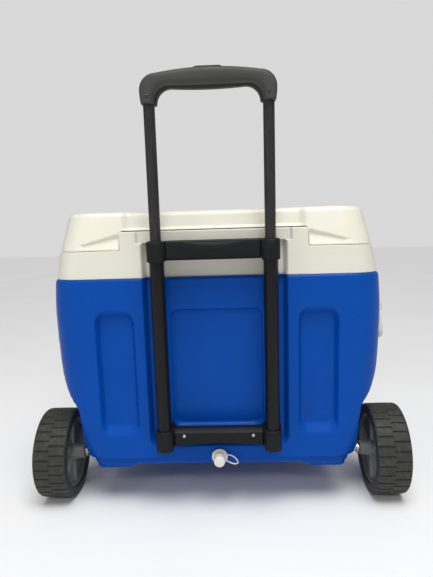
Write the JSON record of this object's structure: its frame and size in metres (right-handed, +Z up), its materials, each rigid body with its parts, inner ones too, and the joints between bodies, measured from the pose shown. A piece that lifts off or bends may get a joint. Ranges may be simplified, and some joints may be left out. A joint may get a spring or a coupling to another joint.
{
  "type": "wheeled cooler",
  "caption": "Wheeled cooler: blue shell, white lined chamber, hinged lid, telescoping pull handle, swing carry handles, drain plug and two wheels on a steel axle.",
  "frame": {"origin": "on the floor, under the middle of the whole object box with the pull handle drawn out", "axes": "+Z up; +X along the wheel axle, to the right as seen from the pull-handle side; +Y from the pull-handle side towards the hinge side"},
  "size_m": [0.622, 0.4561, 0.695],
  "materials": {
    "blue_shell": "satin",
    "blue_clamp": "satin",
    "white_liner": "satin",
    "cream_lid": "satin",
    "foam": "matte",
    "black_bracket": "satin",
    "black_foot": "matte",
    "black_tube": "satin",
    "grey_grip": "matte",
    "black_button": "satin",
    "grey_plastic": "satin",
    "tyre": "matte",
    "zinc_steel": "satin",
    "white_fittings": "satin",
    "black_rubber": "matte"
  },
  "bodies": {
    "root": {"axle": "zinc_steel", "axle_cap_left": "zinc_steel", "axle_cap_right": "zinc_steel", "axle_clamp_left": "blue_clamp", "axle_clamp_right": "blue_clamp", "axle_washer_left": "zinc_steel", "axle_washer_right": "zinc_steel", "bracket_screw_left": "zinc_steel", "bracket_screw_right": "zinc_steel", "carry_bracket_left": "white_fittings", "carry_bracket_right": "white_fittings", "drain_body": "white_fittings", "drain_gasket": "black_rubber", "drain_tether": "white_fittings", "front_foot_left": "black_foot", "front_foot_right": "black_foot", "hinge_base_left": "white_fittings", "hinge_base_right": "white_fittings", "hinge_pin_left": "zinc_steel", "hinge_pin_right": "zinc_steel", "inner_liner": "white_liner", "insulation_foam": "foam", "lower_bracket": "black_bracket", "outer_shell": "blue_shell", "outer_tube_left": "black_tube", "outer_tube_right": "black_tube", "tube_bushing_left": "grey_plastic", "tube_bushing_right": "grey_plastic", "upper_bracket": "black_bracket"},
    "handle": {"grip_rear_shell": "grey_grip", "grip_front_shell": "grey_grip", "grip_screw_left": "zinc_steel", "grip_screw_right": "zinc_steel", "inner_tube_left": "black_tube", "inner_tube_right": "black_tube", "tube_slider_left": "grey_plastic", "tube_slider_right": "grey_plastic"},
    "button": {"release_button": "black_button", "push_yoke": "grey_plastic", "push_rod_left": "zinc_steel", "push_rod_right": "zinc_steel"},
    "lock_pin_left": {"lock_pin_left": "zinc_steel"},
    "lock_pin_right": {"lock_pin_right": "zinc_steel"},
    "lid": {"lid_shell": "cream_lid", "lid_liner": "white_liner", "lid_foam": "foam", "hinge_leaf_left": "white_fittings", "hinge_leaf_right": "white_fittings"},
    "wheel_left": {"wheel_rim_left": "grey_plastic", "wheel_tyre_left": "tyre"},
    "wheel_right": {"wheel_rim_right": "grey_plastic", "wheel_tyre_right": "tyre"},
    "carry_left": {"carry_handle_left": "white_fittings"},
    "carry_right": {"carry_handle_right": "white_fittings"},
    "drain_cap": {"drain_cap": "white_fittings"}
  },
  "joints": [
    {"name": "handle_slide", "type": "slide", "parent": "root", "child": "handle", "axis": [0, -0.0488, 0.9988], "range_m": [-0.19, 0]},
    {"name": "button_press", "type": "slide", "parent": "handle", "child": "button", "axis": [0, 0.0488, -0.9988], "range_m": [0, 0.005], "stiffness_N_per_m": 600, "springref_m": -0.004},
    {"name": "lock_pin_left_pull", "type": "slide", "parent": "handle", "child": "lock_pin_left", "axis": [1, 0, 0], "range_m": [0, 0.0025]},
    {"name": "lock_pin_right_pull", "type": "slide", "parent": "handle", "child": "lock_pin_right", "axis": [-1, 0, 0], "range_m": [0, 0.0025]},
    {"name": "lid_hinge", "type": "hinge", "parent": "root", "child": "lid", "pos_m": [0, 0.2226, 0.435], "axis": [-1, 0, 0], "range_deg": [0, 105]},
    {"name": "wheel_left_spin", "type": "hinge", "parent": "root", "child": "wheel_left", "pos_m": [-0.2835, -0.1049, 0.076], "axis": [1, 0, 0], "continuous": true},
    {"name": "wheel_right_spin", "type": "hinge", "parent": "root", "child": "wheel_right", "pos_m": [0.2835, -0.1049, 0.076], "axis": [1, 0, 0], "continuous": true},
    {"name": "carry_left_swing", "type": "hinge", "parent": "root", "child": "carry_left", "pos_m": [-0.2825, 0.0051, 0.322], "axis": [0, 1, 0], "range_deg": [0, 90]},
    {"name": "carry_right_swing", "type": "hinge", "parent": "root", "child": "carry_right", "pos_m": [0.2825, 0.0051, 0.322], "axis": [0, -1, 0], "range_deg": [0, 90]},
    {"name": "drain_cap_pull", "type": "slide", "parent": "root", "child": "drain_cap", "axis": [0, -0.9988, -0.0488], "range_m": [0, 0.0085]}
  ],
  "couplings": [
    {"joint": "lock_pin_left_pull", "follows": "button_press", "ratio": 0.5},
    {"joint": "lock_pin_right_pull", "follows": "button_press", "ratio": 0.5}
  ]
}
